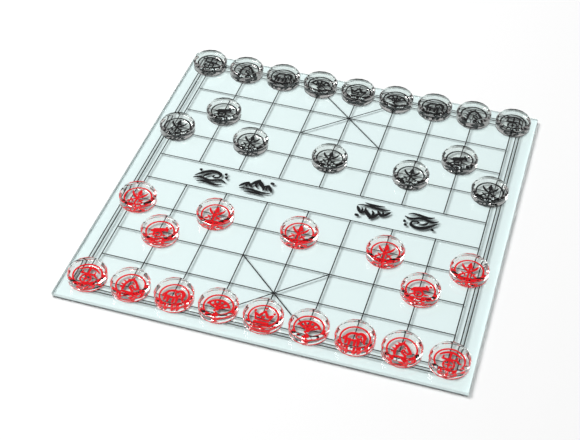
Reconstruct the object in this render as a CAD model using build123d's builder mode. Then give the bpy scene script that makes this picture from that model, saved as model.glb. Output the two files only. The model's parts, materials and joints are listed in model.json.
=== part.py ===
"""Glass elephant-chess set: a ruled glass board on four pads, and two sets of sixteen bevelled glass discs.

Millimetres. The origin is at the centre of the board, on the surface it stands on. +X runs along the
ranks to the red player's right, +Y runs along the files towards the black player, and +Z is up.
"""

from build123d import *
import math
import os

# Board grid
FILES = 9
RANKS = 10
file_pitch = 38.3
rank_pitch = 35.2
river_gap = 34.0
side_margin = 21.8
end_margin = 21.2

# Board layers, from the table up
pad_height = 1.2
pad_diameter = 12.0
pad_inset = 14.0
coat_thickness = 0.3
coat_inset = 0.6
glass_thickness = 3.2
corner_radius = 1.2
arris = 0.5

# Printed lines, let into the top of the glass
print_depth = 0.15
line_width = 1.0
border_inner_gap = 5.7
border_outer_gap = 8.7
mark_side_gap = 6.6
mark_end_gap = 6.8

# Discs
disc_gap = 1.9
disc_thickness = 11.5
bevel_width = 1.8
bevel_height = 2.4
facets = 16
air_film = 0.05
ring_inset = 2.0
ring_width = 1.5
emblem_gap = 0.8
stroke_weight = 1.2
paint_depth = 0.3

# How the discs are set out by hand, as distances in from their line crossings
edge_soldier_inset = 4.0
red_back_rank_inset = 2.5
red_side_shift = 1.3

# Worked out from the sizes above
rank_steps = [rank_pitch] * 4 + [river_gap] + [rank_pitch] * 4
grid_width = file_pitch * (FILES - 1)
grid_depth = sum(rank_steps)
board_width = grid_width + 2 * side_margin
board_depth = grid_depth + 2 * end_margin
coat_bottom = pad_height
glass_bottom = coat_bottom + coat_thickness
board_top = glass_bottom + glass_thickness
print_bottom = board_top - print_depth
disc_bottom = board_top + air_film
disc_diameter = min(file_pitch, rank_pitch) - disc_gap
disc_radius = disc_diameter / 2
table_radius = disc_radius - bevel_width
ring_radius = table_radius - ring_inset
emblem_radius = ring_radius - ring_width - emblem_gap
mark_half_width = (file_pitch - mark_side_gap) / 2
mark_half_height = (river_gap - mark_end_gap * 2) / 2

# Layout, in files and ranks counted from 0 at the red player's left corner
CENTRE_FILE = 4
RIVER_RANKS = (4, 5)
PALACE_FILES = (3, 5)
PALACE_DEPTH = 2
MARK_FILES = (1.45, 2.58)
SIDE_KINDS = ["chariot", "horse", "elephant", "advisor"]
BACK_RANK = SIDE_KINDS + ["general"] + SIDE_KINDS[::-1]
CANNON_FILES = (1, 7)
CANNON_RANK = 2
SOLDIER_FILES = (0, 2, 4, 6, 8)
SOLDIER_RANK = 3


def file_x(index):
    """X of a file, counted from the red player's left."""
    return file_pitch * index - grid_width / 2


def rank_y(index):
    """Y of a rank, counted from the red player's back rank."""
    return sum(rank_steps[:index]) - grid_depth / 2


def taper(start, end, scale):
    """Adds a straight stroke with round ends to the open sketch, between two (x, y, width) points.

    A scale is the millimetres one unit stands for along X, along Y and across a stroke.
    """
    edges = []
    for x, y, width in (start, end):
        tip = Pos(x * scale[0], y * scale[1]) * Circle(width * scale[2] / 2, mode=Mode.PRIVATE)
        edges.extend(tip.edges())
    make_hull(edges)


def brush(points, scale):
    """Adds a smooth brush stroke with round ends to the open sketch, through (x, y, width) points."""
    middles = [Vector(x * scale[0], y * scale[1]) for x, y, _ in points]
    half_widths = [width * scale[2] / 2 for _, _, width in points]
    spine = Spline(middles, mode=Mode.PRIVATE)
    headings = [spine % spine.param_at_point(middle) for middle in middles]
    offsets = [heading.rotate(Axis.Z, 90) * half for heading, half in zip(headings, half_widths)]
    left_side = [middle + offset for middle, offset in zip(middles, offsets)]
    right_side = [middle - offset for middle, offset in zip(middles, offsets)]
    with BuildLine() as outline:
        Spline(left_side)
        ThreePointArc(left_side[-1], middles[-1] + headings[-1] * half_widths[-1], right_side[-1])
        Spline(right_side[::-1])
        ThreePointArc(right_side[0], middles[0] - headings[0] * half_widths[0], left_side[0])
    make_face(outline.edges())


def brush_arc(centre, radius, angles, width, scale):
    """Adds an arc-shaped stroke with round ends. angles are its start and its sweep, in degrees."""
    middle = (centre[0] * scale[0], centre[1] * scale[1])
    line = CenterArc(middle, radius * scale[1], angles[0], angles[1], mode=Mode.PRIVATE)
    SlotArc(line, width * scale[2])


def dot(x, y, width, scale):
    """Adds a round dot to the open sketch."""
    with Locations((x * scale[0], y * scale[1])):
        Circle(width * scale[2] / 2)


def mirrored(points):
    """The same stroke points on the other side of the emblem's upright line."""
    return [(-x, y, width) for x, y, width in points]


def draw_general(scale):
    """A crown with three tall points, over two bars."""
    taper((-0.50, -0.66, 0.22), (0.50, -0.66, 0.22), scale)
    taper((-0.50, -0.36, 0.13), (0.50, -0.36, 0.13), scale)
    side = [(0.50, -0.36, 0.15), (0.72, 0.28, 0.12), (0.34, 0.00, 0.20), (0.00, 0.58, 0.15)]
    for points in (side, mirrored(side)):
        for start, end in zip(points, points[1:]):
            taper(start, end, scale)
    for x, y in ((-0.76, 0.48), (0.0, 0.84), (0.76, 0.48)):
        dot(x, y, 0.18, scale)
    dot(0.0, -0.08, 0.24, scale)


def draw_advisor(scale):
    """An open folding fan with its tassel."""
    for angle in (30, 60, 90, 120, 150):
        x = 0.90 * math.cos(math.radians(angle))
        y = 0.90 * math.sin(math.radians(angle)) - 0.34
        taper((0.0, -0.34, 0.08), (x, y, 0.16), scale)
    brush_arc((0.0, -0.34), 0.94, (26, 128), 0.17, scale)
    brush_arc((0.0, -0.34), 0.52, (28, 124), 0.13, scale)
    dot(0.0, -0.38, 0.26, scale)
    brush([(0.0, -0.44, 0.12), (-0.12, -0.60, 0.11), (0.06, -0.74, 0.12), (-0.06, -0.88, 0.16)], scale)


def draw_elephant(scale):
    """An elephant walking to the right."""
    brush([(-0.66, -0.14, 0.20), (-0.58, 0.26, 0.19), (-0.20, 0.48, 0.20), (0.20, 0.42, 0.16)], scale)
    head = (0.44, 0.54, 0.25)
    brush([(0.12, 0.42, 0.16), head, (0.70, 0.26, 0.25), (0.72, -0.16, 0.18), (0.82, -0.40, 0.11)], scale)
    brush([(0.20, 0.40, 0.11), (0.06, 0.12, 0.13), (0.26, -0.04, 0.15), (0.42, 0.22, 0.11)], scale)
    taper((0.50, 0.02, 0.11), (0.54, -0.22, 0.06), scale)
    legs = [(-0.64, -0.14, -0.62), (-0.36, -0.20, -0.72), (0.06, -0.20, -0.72), (0.32, -0.14, -0.66)]
    for x, top, foot in legs:
        taper((x, top, 0.19), (x + 0.03, foot, 0.17), scale)
    brush([(-0.64, -0.16, 0.16), (-0.16, -0.24, 0.19), (0.32, -0.16, 0.16)], scale)
    brush([(-0.66, 0.12, 0.08), (-0.82, 0.00, 0.08), (-0.84, -0.26, 0.14)], scale)


def draw_horse(scale):
    """A horse's head and neck on a base line."""
    brush([(-0.46, -0.54, 0.20), (-0.46, -0.10, 0.18), (-0.32, 0.30, 0.20), (-0.02, 0.60, 0.20)], scale)
    brush([(-0.02, 0.60, 0.20), (0.32, 0.36, 0.18), (0.56, 0.02, 0.19), (0.70, -0.22, 0.22)], scale)
    brush([(0.68, -0.24, 0.18), (0.48, -0.34, 0.13), (0.28, -0.16, 0.13), (0.06, -0.06, 0.11)], scale)
    brush([(0.12, -0.06, 0.12), (0.04, -0.26, 0.16), (0.22, -0.44, 0.18), (0.36, -0.56, 0.20)], scale)
    taper((-0.02, 0.60, 0.16), (0.06, 0.92, 0.05), scale)
    taper((0.16, 0.20, 0.12), (0.24, 0.14, 0.12), scale)
    for x, y in ((-0.28, 0.52), (-0.50, 0.26), (-0.62, -0.06), (-0.64, -0.36)):
        taper((x, y, 0.14), (x - 0.17, y + 0.07, 0.05), scale)
    taper((-0.46, -0.77, 0.17), (0.44, -0.77, 0.17), scale)


def draw_chariot(scale):
    """A two-wheeled chariot from the side: its canopy, pole, box, wheel and shaft."""
    canopy = (0.00, 0.82, 0.18)
    brush([(-0.80, 0.46, 0.10), (-0.42, 0.72, 0.16), canopy, (0.42, 0.72, 0.16), (0.80, 0.46, 0.10)], scale)
    taper((0.0, 0.78, 0.13), (0.0, 0.12, 0.13), scale)
    taper((-0.56, 0.12, 0.15), (0.56, 0.12, 0.15), scale)
    for x in (-0.52, 0.52):
        taper((x, 0.40, 0.10), (x, 0.12, 0.12), scale)
    for start in (0, 180):
        brush_arc((0.0, -0.42), 0.42, (start, 180), 0.12, scale)
    for angle in (0, 90):
        x, y = 0.42 * math.cos(math.radians(angle)), 0.42 * math.sin(math.radians(angle))
        taper((-x, -y - 0.42, 0.09), (x, y - 0.42, 0.09), scale)
    dot(0.0, -0.42, 0.22, scale)
    brush([(0.56, 0.12, 0.14), (0.72, -0.08, 0.13), (0.86, -0.12, 0.10)], scale)


def draw_cannon(scale):
    """A field cannon with a shot leaving its muzzle."""
    taper((-0.40, 0.00, 0.44), (0.48, 0.36, 0.26), scale)
    taper((0.38, 0.57, 0.14), (0.56, 0.15, 0.14), scale)
    taper((-0.68, -0.10, 0.18), (-0.60, -0.07, 0.18), scale)
    for start in (0, 180):
        brush_arc((-0.08, -0.38), 0.34, (start, 180), 0.14, scale)
    dot(-0.08, -0.38, 0.20, scale)
    brush([(-0.08, -0.38, 0.10), (-0.42, -0.46, 0.13), (-0.68, -0.62, 0.15)], scale)
    dot(0.72, 0.56, 0.20, scale)
    taper((0.30, -0.74, 0.14), (0.60, -0.66, 0.07), scale)
    taper((0.44, -0.40, 0.14), (0.74, -0.40, 0.07), scale)


def draw_soldier(scale):
    """An upright spear with two crossed sabres."""
    taper((0.0, -0.90, 0.13), (0.0, 0.52, 0.13), scale)
    taper((0.0, 0.52, 0.32), (0.0, 0.93, 0.05), scale)
    taper((-0.22, 0.32, 0.12), (0.22, 0.32, 0.12), scale)
    sabre = [(-0.62, -0.64, 0.19), (0.10, -0.08, 0.14), (0.52, 0.34, 0.17), (0.66, 0.66, 0.04)]
    guard = [(-0.54, -0.30, 0.10), (-0.34, -0.44, 0.12), (-0.26, -0.62, 0.10)]
    for points in (sabre, guard):
        brush(points, scale)
        brush(mirrored(points), scale)
    taper((-0.28, -0.87, 0.12), (0.28, -0.87, 0.12), scale)


def draw_wave_mark(scale):
    """A breaking wave over two ripples, with spray."""
    crest = (0.00, 0.78, 0.32)
    brush([(-0.92, -0.20, 0.08), (-0.56, 0.36, 0.26), crest, (0.46, 0.56, 0.26), (0.46, 0.12, 0.10)], scale)
    brush([(0.47, 0.30, 0.12), (0.34, 0.04, 0.20), (0.10, 0.10, 0.16), (0.16, 0.30, 0.08)], scale)
    brush([(-0.42, -0.12, 0.10), (-0.22, 0.26, 0.22), (-0.02, 0.38, 0.10)], scale)
    trough = (0.00, -0.48, 0.26)
    swell = (0.48, -0.22, 0.24)
    brush([(-0.94, -0.50, 0.10), (-0.50, -0.30, 0.24), trough, swell, (0.92, -0.36, 0.08)], scale)
    brush([(-0.66, -0.88, 0.10), (-0.20, -0.72, 0.24), (0.26, -0.86, 0.22), (0.76, -0.70, 0.08)], scale)
    for x, y in ((0.76, 0.74), (0.86, 0.30), (-0.76, 0.70)):
        taper((x, y, 0.24), (x + 0.05, y - 0.16, 0.10), scale)


def draw_mountain_mark(scale):
    """Three peaks under a sun, with mist at their feet."""
    brush([(-0.94, -0.34, 0.12), (-0.70, 0.10, 0.26), (-0.52, 0.34, 0.16)], scale)
    brush([(-0.54, 0.32, 0.16), (-0.38, 0.06, 0.24), (-0.26, -0.24, 0.10)], scale)
    brush([(-0.36, 0.04, 0.14), (-0.14, 0.58, 0.26), (0.04, 0.90, 0.18)], scale)
    brush([(0.02, 0.88, 0.18), (0.22, 0.42, 0.34), (0.42, -0.02, 0.22), (0.46, -0.32, 0.08)], scale)
    brush([(0.42, 0.06, 0.12), (0.56, 0.34, 0.20), (0.66, 0.46, 0.14)], scale)
    brush([(0.65, 0.45, 0.14), (0.80, 0.10, 0.26), (0.94, -0.32, 0.10)], scale)
    brush([(0.02, 0.62, 0.12), (-0.06, 0.28, 0.20), (0.04, -0.08, 0.12)], scale)
    brush([(-0.52, 0.16, 0.10), (-0.58, -0.06, 0.16), (-0.52, -0.28, 0.08)], scale)
    brush([(0.66, 0.26, 0.10), (0.60, 0.02, 0.16), (0.66, -0.22, 0.08)], scale)
    taper((0.78, 0.82, 0.26), (0.84, 0.80, 0.26), scale)
    brush([(-0.88, -0.62, 0.08), (-0.34, -0.50, 0.24), (0.30, -0.62, 0.22), (0.92, -0.50, 0.08)], scale)
    brush([(-0.54, -0.92, 0.08), (0.02, -0.84, 0.20), (0.58, -0.94, 0.08)], scale)


def emblem_sketch(draw):
    """The painted shapes under one kind of disc: its ring and its emblem."""
    with BuildSketch() as paint:
        Circle(ring_radius)
        Circle(ring_radius - ring_width, mode=Mode.SUBTRACT)
        draw((emblem_radius, emblem_radius, emblem_radius * stroke_weight))
    return paint.sketch


def facet_envelope():
    """The stack of many-sided shapes whose flat sides cut the bevel facets of a round disc."""
    levels = [
        (0, table_radius),
        (bevel_height, disc_radius),
        (disc_thickness - bevel_height, disc_radius),
        (disc_thickness, table_radius),
    ]
    with BuildPart() as envelope:
        for lower, upper in zip(levels, levels[1:]):
            for height, inner_radius in (lower, upper):
                with BuildSketch(Plane.XY.offset(height)):
                    RegularPolygon(inner_radius, facets, major_radius=False)
            loft()
    return envelope.part


def disc_shape(draw):
    """One glass disc, standing on XY: round, with flat bevel facets and an engraved underside."""
    envelope = facet_envelope()
    paint = emblem_sketch(draw)
    with BuildPart() as disc:
        with BuildSketch():
            Circle(disc_radius)
        extrude(amount=disc_thickness)
        add(envelope, mode=Mode.INTERSECT)
        with BuildSketch():
            add(paint)
        extrude(amount=paint_depth, mode=Mode.SUBTRACT)
    return disc.part


def printed_line(start, end, overrun=line_width):
    """Adds one straight printed line, with square ends, to the open sketch."""
    line = Line(start, end, mode=Mode.PRIVATE)
    middle = line @ 0.5
    angle = math.degrees(math.atan2(end[1] - start[1], end[0] - start[0]))
    with Locations((middle.X, middle.Y)):
        Rectangle(line.length + overrun, line_width, rotation=angle)


def grid_sketch():
    """Nine files, broken by the river except at the sides, ten ranks and two palace crosses."""
    left, right = file_x(0), file_x(FILES - 1)
    near, far = rank_y(0), rank_y(RANKS - 1)
    river_near, river_far = rank_y(RIVER_RANKS[0]), rank_y(RIVER_RANKS[1])
    palace_left, palace_right = file_x(PALACE_FILES[0]), file_x(PALACE_FILES[1])
    palaces = [(near, rank_y(PALACE_DEPTH)), (rank_y(RANKS - 1 - PALACE_DEPTH), far)]
    with BuildSketch() as lines:
        for rank in range(RANKS):
            printed_line((left, rank_y(rank)), (right, rank_y(rank)))
        for index in range(FILES):
            printed_line((file_x(index), near), (file_x(index), river_near))
            printed_line((file_x(index), river_far), (file_x(index), far))
        for x in (left, right):
            printed_line((x, river_near), (x, river_far))
        for low, high in palaces:
            printed_line((palace_left, low), (palace_right, high), overrun=0)
            printed_line((palace_left, high), (palace_right, low), overrun=0)
    return lines.sketch


def border_sketch(gap):
    """One printed rectangle, its line centred a gap outside the grid."""
    with BuildSketch() as border:
        Rectangle(grid_width + 2 * gap + line_width, grid_depth + 2 * gap + line_width)
        Rectangle(grid_width + 2 * gap - line_width, grid_depth + 2 * gap - line_width, mode=Mode.SUBTRACT)
    return border.sketch


def river_marks_sketch():
    """The two brush marks in the river that face the red player."""
    scale = (mark_half_width, mark_half_height, mark_half_height * stroke_weight)
    river_middle = (rank_y(RIVER_RANKS[0]) + rank_y(RIVER_RANKS[1])) / 2
    with BuildSketch() as wave:
        draw_wave_mark(scale)
    with BuildSketch() as mountain:
        draw_mountain_mark(scale)
    with BuildSketch() as marks:
        for index, mark in zip(MARK_FILES, (wave.sketch, mountain.sketch)):
            with Locations((file_x(index), river_middle)):
                add(mark)
    return marks.sketch


def printed_layer(sketches, label):
    """Ink that fills its groove in the top of the glass, flush with the surface."""
    with BuildPart() as ink:
        with BuildSketch(Plane.XY.offset(print_bottom)):
            for sketch in sketches:
                add(sketch)
        extrude(amount=print_depth)
    finish(ink, label)
    return ink.part


def finish(node, label):
    """Names a finished piece and writes it."""
    node.part.label = label
    export_step(node.part, f"parts/{label}.step")


def make_board(prints):
    """The clear sheet, its edges ground and its top grooved for the printed layers."""
    with BuildPart() as board_glass:
        with BuildSketch(Plane.XY.offset(glass_bottom)):
            RectangleRounded(board_width, board_depth, corner_radius)
        extrude(amount=glass_thickness)
        rims = board_glass.faces().sort_by(Axis.Z)
        chamfer(rims[0].edges() + rims[-1].edges(), length=arris)
        for ink in prints:
            add(ink, mode=Mode.SUBTRACT)
    finish(board_glass, "board_glass")


def make_coat():
    """The frosted coat under the glass, a little smaller than the sheet."""
    with BuildPart() as frosted_coat:
        with BuildSketch(Plane.XY.offset(coat_bottom)):
            Rectangle(board_width - 2 * coat_inset, board_depth - 2 * coat_inset)
        extrude(amount=coat_thickness)
    finish(frosted_coat, "frosted_coat")


def make_pads():
    """One round pad under each corner."""
    x_reach = board_width / 2 - pad_inset
    y_reach = board_depth / 2 - pad_inset
    for name_y, y in (("front", -y_reach), ("rear", y_reach)):
        for name_x, x in (("left", -x_reach), ("right", x_reach)):
            with BuildPart() as pad:
                with BuildSketch():
                    with Locations((x, y)):
                        Circle(pad_diameter / 2)
                extrude(amount=pad_height)
            finish(pad, f"pad_{name_y}_{name_x}")


def set_out(side):
    """Yields the name, kind, file and rank of each disc of one side. Ranks count from its own back rank."""
    for index, kind in enumerate(BACK_RANK):
        suffix = "" if kind == "general" else "_left" if index < CENTRE_FILE else "_right"
        yield f"{side}_{kind}{suffix}", kind, index, 0
    for index, suffix in zip(CANNON_FILES, ("left", "right")):
        yield f"{side}_cannon_{suffix}", "cannon", index, CANNON_RANK
    for number, index in enumerate(SOLDIER_FILES, start=1):
        yield f"{side}_soldier_{number}", "soldier", index, SOLDIER_RANK


def stand(side, kind, index, rank):
    """Where a disc stands: on its line crossing, or as far in from it as it was set down by hand."""
    x = file_x(index)
    y = rank_y(rank if side == "red" else RANKS - 1 - rank)
    if kind == "soldier" and index in (0, FILES - 1):
        x -= math.copysign(edge_soldier_inset, x)
    if side == "red":
        x += red_side_shift
        y += red_back_rank_inset if rank == 0 else 0
    return x, y, disc_bottom


def make_discs():
    """Both sides' discs."""
    shapes = {kind: disc_shape(draw) for kind, draw in EMBLEMS.items()}
    for side in ("red", "black"):
        for name, kind, index, rank in set_out(side):
            with BuildPart() as disc:
                with Locations(stand(side, kind, index, rank)):
                    add(shapes[kind])
            finish(disc, name)


EMBLEMS = {
    "general": draw_general,
    "advisor": draw_advisor,
    "elephant": draw_elephant,
    "horse": draw_horse,
    "chariot": draw_chariot,
    "cannon": draw_cannon,
    "soldier": draw_soldier,
}

os.makedirs("parts", exist_ok=True)
near_marks = river_marks_sketch()
far_marks = near_marks.rotate(Axis.Z, 180)
printed_layers = [
    printed_layer([grid_sketch()], "printed_grid"),
    printed_layer([border_sketch(border_inner_gap), border_sketch(border_outer_gap)], "printed_border"),
    printed_layer([near_marks], "river_marks_left"),
    printed_layer([far_marks], "river_marks_right"),
]
make_board(printed_layers)
make_coat()
make_pads()
make_discs()
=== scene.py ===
"""Looks for the glass elephant-chess set: glass, paint and print materials, the paint fills and the studio.

Metres, in the row frame: +X to the red player's right, +Y towards the black player, +Z up.
"""

import json
import math

import bmesh
import bpy
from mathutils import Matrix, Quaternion, Vector


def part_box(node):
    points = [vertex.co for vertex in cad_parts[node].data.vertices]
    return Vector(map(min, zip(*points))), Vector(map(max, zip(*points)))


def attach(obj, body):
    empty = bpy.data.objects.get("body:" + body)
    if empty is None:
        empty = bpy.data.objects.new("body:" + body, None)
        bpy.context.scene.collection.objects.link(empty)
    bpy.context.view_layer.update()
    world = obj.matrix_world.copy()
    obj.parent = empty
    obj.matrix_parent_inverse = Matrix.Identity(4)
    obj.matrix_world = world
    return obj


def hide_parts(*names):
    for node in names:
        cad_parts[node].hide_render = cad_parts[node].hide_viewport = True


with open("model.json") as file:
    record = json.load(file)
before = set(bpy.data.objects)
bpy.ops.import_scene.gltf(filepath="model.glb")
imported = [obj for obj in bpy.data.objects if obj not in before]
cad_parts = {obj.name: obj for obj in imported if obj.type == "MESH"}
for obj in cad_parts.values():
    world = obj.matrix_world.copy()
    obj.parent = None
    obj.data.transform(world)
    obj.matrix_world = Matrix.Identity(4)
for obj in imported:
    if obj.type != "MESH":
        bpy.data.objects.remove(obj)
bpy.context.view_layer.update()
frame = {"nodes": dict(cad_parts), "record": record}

MM = 0.001
NODES = frame["nodes"]
BODY_OF = {
    node: body
    for body, nodes in frame["record"]["behaviour"]["bodies"].items()
    for node in nodes
}
SIDES = ("red", "black")
BOARD_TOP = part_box("board_glass")[1].z


# ---------------------------------------------------------------- node helpers

NOISE_ROUGHNESS = 0.55


def new_material(name):
    """A material with an empty node tree, its output and its builder."""
    material = bpy.data.materials.new(name)
    material.use_nodes = True
    tree = material.node_tree
    tree.nodes.clear()
    output = tree.nodes.new("ShaderNodeOutputMaterial")
    return material, tree, output


def add(tree, kind, **values):
    """Adds a node and sets its properties and its unlinked inputs by name."""
    node = tree.nodes.new(kind)
    for key, value in values.items():
        name = key.replace("_", " ")
        if hasattr(node, key):
            setattr(node, key, value)
        else:
            match = [s for s in node.inputs if s.name.lower() == name.lower()]
            match[0].default_value = value
    return node


def object_noise(tree, scale, detail=3.0):
    """Noise laid over a piece in metres, so that a scale is in cycles per metre."""
    where = add(tree, "ShaderNodeTexCoord")
    noise = add(tree, "ShaderNodeTexNoise", scale=scale, detail=detail, roughness=NOISE_ROUGHNESS)
    tree.links.new(where.outputs["Object"], noise.inputs["Vector"])
    return noise


def ranged(tree, source, low, high):
    """Maps a 0 to 1 value to low to high."""
    node = add(tree, "ShaderNodeMapRange")
    node.inputs["To Min"].default_value = low
    node.inputs["To Max"].default_value = high
    tree.links.new(source, node.inputs["Value"])
    return node.outputs["Result"]


def bump(tree, source, height):
    """A bump from a height pattern, whose full swing stands for height metres."""
    node = add(tree, "ShaderNodeBump")
    node.inputs["Strength"].default_value = 1.0
    node.inputs["Distance"].default_value = height
    tree.links.new(source, node.inputs["Height"])
    return node.outputs["Normal"]


def colour_mix(tree, factor, first, second):
    """A colour between two, by a 0 to 1 value."""
    node = tree.nodes.new("ShaderNodeMix")
    node.data_type = "RGBA"
    node.inputs["A"].default_value = (*first, 1)
    node.inputs["B"].default_value = (*second, 1)
    tree.links.new(factor, node.inputs["Factor"])
    return node.outputs["Result"]


def upward(tree):
    """How far a surface faces up, from -1 for straight down to 1 for straight up."""
    where = add(tree, "ShaderNodeTexCoord")
    facing = add(tree, "ShaderNodeSeparateXYZ")
    tree.links.new(where.outputs["Normal"], facing.inputs["Vector"])
    return facing.outputs["Z"]


# ------------------------------------------------------------------- materials

GLASS_IOR = 1.5
EDGE_BELOW = 0.9
COAT_TOP_ABOVE = 0.5
WAVE_HEIGHT = 0.12 * MM
GRAIN_HEIGHT = 0.02 * MM
PAD_DUST_HEIGHT = 0.05 * MM


def lets_lamps_through(tree, glass, tint, solid=None):
    """The glass shader, which lets lamps and soft light straight through instead of bending them.

    Where solid is 1, the glass stops that light, as a ground edge does.
    """
    path = add(tree, "ShaderNodeLightPath")
    soft = add(tree, "ShaderNodeMath", operation="MAXIMUM")
    tree.links.new(path.outputs["Is Shadow Ray"], soft.inputs[0])
    tree.links.new(path.outputs["Is Diffuse Ray"], soft.inputs[1])
    if solid:
        through = add(tree, "ShaderNodeMath", operation="SUBTRACT", use_clamp=True)
        tree.links.new(soft.outputs["Value"], through.inputs[0])
        tree.links.new(solid, through.inputs[1])
        soft = through
    clear = add(tree, "ShaderNodeBsdfTransparent")
    clear.inputs["Color"].default_value = (*tint, 1)
    both = add(tree, "ShaderNodeMixShader")
    tree.links.new(soft.outputs["Value"], both.inputs["Fac"])
    tree.links.new(glass, both.inputs[1])
    tree.links.new(clear.outputs["BSDF"], both.inputs[2])
    return both.outputs["Shader"]


def disc_glass():
    """Pressed and fire-polished glass: faintly warm, its faces a little wavy."""
    material, tree, output = new_material("disc_glass")
    shader = add(tree, "ShaderNodeBsdfPrincipled")
    shader.inputs["Base Color"].default_value = (0.985, 0.965, 0.950, 1)
    shader.inputs["Roughness"].default_value = 0.0
    shader.inputs["IOR"].default_value = GLASS_IOR
    shader.inputs["Transmission Weight"].default_value = 1.0
    waves = object_noise(tree, 90.0, detail=1.0)
    tree.links.new(bump(tree, waves.outputs["Fac"], WAVE_HEIGHT), shader.inputs["Normal"])
    surface = lets_lamps_through(tree, shader.outputs["BSDF"], (0.99, 0.99, 0.985))
    tree.links.new(surface, output.inputs["Surface"])
    return material


def board_glass():
    """Clear float glass, faintly green, polished on its faces and ground along its edges."""
    material, tree, output = new_material("board_glass")
    shader = add(tree, "ShaderNodeBsdfPrincipled")
    upright = add(tree, "ShaderNodeMath", operation="ABSOLUTE")
    tree.links.new(upward(tree), upright.inputs[0])
    ground = add(tree, "ShaderNodeMath", operation="LESS_THAN")
    ground.inputs[1].default_value = EDGE_BELOW
    tree.links.new(upright.outputs["Value"], ground.inputs[0])
    tint = colour_mix(tree, ground.outputs["Value"], (0.97, 0.995, 0.99), (0.72, 0.80, 0.79))
    tree.links.new(tint, shader.inputs["Base Color"])
    grit = object_noise(tree, 1600.0)
    rough = add(tree, "ShaderNodeMath", operation="MULTIPLY")
    tree.links.new(ground.outputs["Value"], rough.inputs[0])
    tree.links.new(ranged(tree, grit.outputs["Fac"], 0.35, 0.75), rough.inputs[1])
    tree.links.new(rough.outputs["Value"], shader.inputs["Roughness"])
    clear = ranged(tree, ground.outputs["Value"], 1.0, 0.45)
    tree.links.new(clear, shader.inputs["Transmission Weight"])
    shader.inputs["IOR"].default_value = GLASS_IOR
    solid = ground.outputs["Value"]
    surface = lets_lamps_through(tree, shader.outputs["BSDF"], (0.98, 0.99, 0.99), solid)
    tree.links.new(surface, output.inputs["Surface"])
    return material


def frosted_coat():
    """A pale mint enamel with a fine sandblasted grain; its sides and underside are painted near-black as
    painted shade for the dark gap under the board's edge.
    """
    material, tree, output = new_material("frosted_coat")
    shader = add(tree, "ShaderNodeBsdfPrincipled")
    cloud = object_noise(tree, 9.0)
    tint = colour_mix(tree, cloud.outputs["Fac"], (0.735, 0.845, 0.845), (0.76, 0.865, 0.865))
    # Painted shade: every coat face that doesn't look up gets a near-black colour, standing in for the
    # shadowed gap under the board's edge; only the upward faces keep the mint enamel.
    top = add(tree, "ShaderNodeMath", operation="GREATER_THAN")
    top.inputs[1].default_value = COAT_TOP_ABOVE
    tree.links.new(upward(tree), top.inputs[0])
    painted_shade_mix = tree.nodes.new("ShaderNodeMix")
    painted_shade_mix.data_type = "RGBA"
    painted_shade_mix.inputs["A"].default_value = (0.030, 0.032, 0.033, 1)
    tree.links.new(tint, painted_shade_mix.inputs["B"])
    tree.links.new(top.outputs["Value"], painted_shade_mix.inputs["Factor"])
    tree.links.new(painted_shade_mix.outputs["Result"], shader.inputs["Base Color"])
    shader.inputs["Roughness"].default_value = 0.7
    shader.inputs["Specular IOR Level"].default_value = 0.1
    grain = object_noise(tree, 2600.0, detail=1.0)
    tree.links.new(bump(tree, grain.outputs["Fac"], GRAIN_HEIGHT), shader.inputs["Normal"])
    tree.links.new(shader.outputs["BSDF"], output.inputs["Surface"])
    return material


def paint(name, dark, bright, shine):
    """Brushed-in enamel, a little uneven in depth."""
    material, tree, output = new_material(name)
    shader = add(tree, "ShaderNodeBsdfPrincipled")
    cloud = object_noise(tree, 700.0)
    tint = colour_mix(tree, cloud.outputs["Fac"], dark, bright)
    tree.links.new(tint, shader.inputs["Base Color"])
    shader.inputs["Roughness"].default_value = 0.5
    shader.inputs["Specular IOR Level"].default_value = shine
    tree.links.new(shader.outputs["BSDF"], output.inputs["Surface"])
    return material


def pad_rubber():
    """Soft translucent bumper, slightly dusty."""
    material, tree, output = new_material("pad_rubber")
    shader = add(tree, "ShaderNodeBsdfPrincipled")
    cloud = object_noise(tree, 900.0)
    tint = colour_mix(tree, cloud.outputs["Fac"], (0.55, 0.58, 0.58), (0.68, 0.71, 0.70))
    tree.links.new(tint, shader.inputs["Base Color"])
    shader.inputs["Roughness"].default_value = 0.55
    tree.links.new(bump(tree, cloud.outputs["Fac"], PAD_DUST_HEIGHT), shader.inputs["Normal"])
    tree.links.new(shader.outputs["BSDF"], output.inputs["Surface"])
    return material


def finish_node(node, material):
    """Gives a CAD node its material."""
    slots = NODES[node].data.materials
    slots.clear()
    slots.append(material)


PAINTS = {
    "red": paint("red_paint", (0.66, 0.002, 0.006), (0.78, 0.005, 0.012), 0.0),
    "black": paint("black_paint", (0.004, 0.004, 0.004), (0.010, 0.010, 0.011), 0.0),
}
PRINT = paint("black_print", (0.004, 0.004, 0.005), (0.011, 0.011, 0.012), 0.15)
DISC_GLASS = disc_glass()
finish_node("board_glass", board_glass())
RUBBER = pad_rubber()
for node in NODES:
    if node.startswith(("printed_", "river_")):
        finish_node(node, PRINT)
    elif node.startswith("pad_"):
        finish_node(node, RUBBER)
    elif node.startswith(SIDES):
        finish_node(node, DISC_GLASS)


# ---------------------------------------------------------------- frosted coat

COAT_BITE = 0.02 * MM


def bonded_coat():
    """The coat with its top let a hair into the glass, so that no air lies between them."""
    data = NODES["frosted_coat"].data.copy()
    data.name = "coat_layer"
    middle = (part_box("frosted_coat")[0].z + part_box("frosted_coat")[1].z) / 2
    for vertex in data.vertices:
        if vertex.co.z > middle:
            vertex.co.z += COAT_BITE
    coat = bpy.data.objects.new("coat_layer", data)
    bpy.context.scene.collection.objects.link(coat)
    data.materials.clear()
    data.materials.append(frosted_coat())
    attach(coat, "board")
    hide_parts("frosted_coat")


bonded_coat()


# ----------------------------------------------------------------- paint fills

PAINT_BITE = 0.01 * MM
PAINT_SHORT = 0.04 * MM
FLAT = 0.99
SAME_POINT = 1e-7


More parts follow.
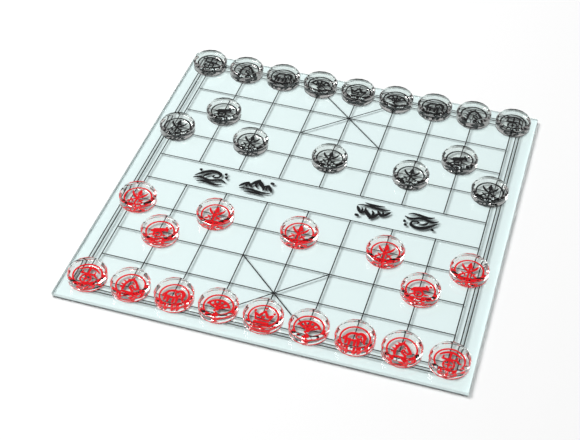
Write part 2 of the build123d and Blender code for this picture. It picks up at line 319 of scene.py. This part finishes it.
def recess_faces(source, floor_z):
    """The faces of a disc that look down above its underside: the roofs of its engraving."""
    lowest = floor_z + PAINT_SHORT
    return [
        face
        for face in source.polygons
        if face.normal.z < -FLAT
        and min(source.vertices[i].co.z for i in face.vertices) > lowest
    ]


def in_fixed_order(mesh):
    """A mesh's points, edges and faces, in an order set only by where they lie."""
    points = sorted(tuple(vertex.co) for vertex in mesh.verts)
    number = {point: i for i, point in enumerate(points)}
    faces = []
    for face in mesh.faces:
        corners = [number[tuple(vertex.co)] for vertex in face.verts]
        first = corners.index(min(corners))
        faces.append(corners[first:] + corners[:first])
    return points, [], sorted(faces)


def paint_fill(node, side):
    """The paint in one disc's engraving, from its roof down to just short of its mouth."""
    source = NODES[node].data
    floor_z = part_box(node)[0].z
    mesh = bmesh.new()
    for face in recess_faces(source, floor_z):
        mesh.faces.new([mesh.verts.new(source.vertices[i].co) for i in face.vertices])
    bmesh.ops.remove_doubles(mesh, verts=mesh.verts, dist=SAME_POINT)
    roof_z = max(v.co.z for v in mesh.verts)
    grown = bmesh.ops.extrude_face_region(mesh, geom=mesh.faces[:])
    for item in grown["geom"]:
        if isinstance(item, bmesh.types.BMVert):
            item.co.z = floor_z + PAINT_SHORT
    bmesh.ops.recalc_face_normals(mesh, faces=mesh.faces)
    for vertex in mesh.verts:
        if vertex.co.z > roof_z - PAINT_BITE:
            vertex.co.z += PAINT_BITE
    data = bpy.data.meshes.new(f"{node}_paint")
    data.from_pydata(*in_fixed_order(mesh))
    mesh.free()
    fill = bpy.data.objects.new(f"{node}_paint", data)
    bpy.context.scene.collection.objects.link(fill)
    data.materials.append(PAINTS[side])
    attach(fill, BODY_OF[node])


for node in sorted(NODES):
    for side in SIDES:
        if node.startswith(f"{side}_"):
            paint_fill(node, side)


# ---------------------------------------------------------------------- studio

FLOOR_SIZE = 12.0
FLOOR_DROP = 0.05 * MM
WALL_FADE = 0.40
WALL_AT_FLOOR = 0.80
WALL_ABOVE = 0.25
LAMP_PLACE = (-2.02, 0.30, 3.30)
LAMP_SIZE = 2.5
LAMP_POWER = 166


def make_floor():
    """A plain pale sweep of table under the board."""
    bpy.ops.mesh.primitive_plane_add(size=FLOOR_SIZE, location=(0, 0, -FLOOR_DROP))
    floor = bpy.context.object
    floor.name = "floor"
    material, tree, output = new_material("floor")
    shader = add(tree, "ShaderNodeBsdfPrincipled")
    shader.inputs["Base Color"].default_value = (0.9, 0.9, 0.9, 1)
    shader.inputs["Roughness"].default_value = 0.9
    shader.inputs["Specular IOR Level"].default_value = 0.0
    tree.links.new(shader.outputs["BSDF"], output.inputs["Surface"])
    floor.data.materials.append(material)


def make_world(at_horizon, above):
    """A dim studio, a little paler near its floor."""
    world = bpy.data.worlds.new("studio")
    world.use_nodes = True
    tree = world.node_tree
    where = add(tree, "ShaderNodeTexCoord")
    height = add(tree, "ShaderNodeSeparateXYZ")
    tree.links.new(where.outputs["Generated"], height.inputs["Vector"])
    level = add(tree, "ShaderNodeMapRange")
    level.inputs["From Max"].default_value = WALL_FADE
    level.inputs["To Min"].default_value = at_horizon
    level.inputs["To Max"].default_value = above
    tree.links.new(height.outputs["Z"], level.inputs["Value"])
    sky = tree.nodes["Background"]
    sky.inputs["Color"].default_value = (1, 1, 1, 1)
    tree.links.new(level.outputs["Result"], sky.inputs["Strength"])
    bpy.context.scene.world = world


def make_softbox(name, place, aim, size, power):
    """A large soft lamp."""
    light = bpy.data.lights.new(name, "AREA")
    light.shape = "DISK"
    light.size = size
    light.energy = power
    lamp = bpy.data.objects.new(name, light)
    lamp.location = place
    lamp.rotation_euler = (Vector(aim) - Vector(place)).to_track_quat("-Z", "Y").to_euler()
    bpy.context.scene.collection.objects.link(lamp)


CAMERA_PLACE = Vector((0.2068, -0.8295, 0.7659 + BOARD_TOP))
CAMERA_AIM = Vector((-0.0126, -0.0332, BOARD_TOP))
CAMERA_ROLL = math.radians(1.82)
CAMERA_LENS = 79.42


def make_camera():
    """A short telephoto view from over the red player's right shoulder."""
    data = bpy.data.cameras.new("camera")
    data.lens = CAMERA_LENS
    camera = bpy.data.objects.new("camera", data)
    turn = (CAMERA_AIM - CAMERA_PLACE).to_track_quat("-Z", "Y")
    camera.rotation_mode = "QUATERNION"
    camera.rotation_quaternion = turn @ Quaternion((0, 0, 1), CAMERA_ROLL)
    camera.location = CAMERA_PLACE
    bpy.context.scene.collection.objects.link(camera)
    bpy.context.scene.camera = camera


make_floor()
make_world(WALL_AT_FLOOR, WALL_ABOVE)
make_softbox("overhead", LAMP_PLACE, (0, 0, 0), LAMP_SIZE, LAMP_POWER)
make_camera()
bpy.context.scene.view_settings.view_transform = "Standard"
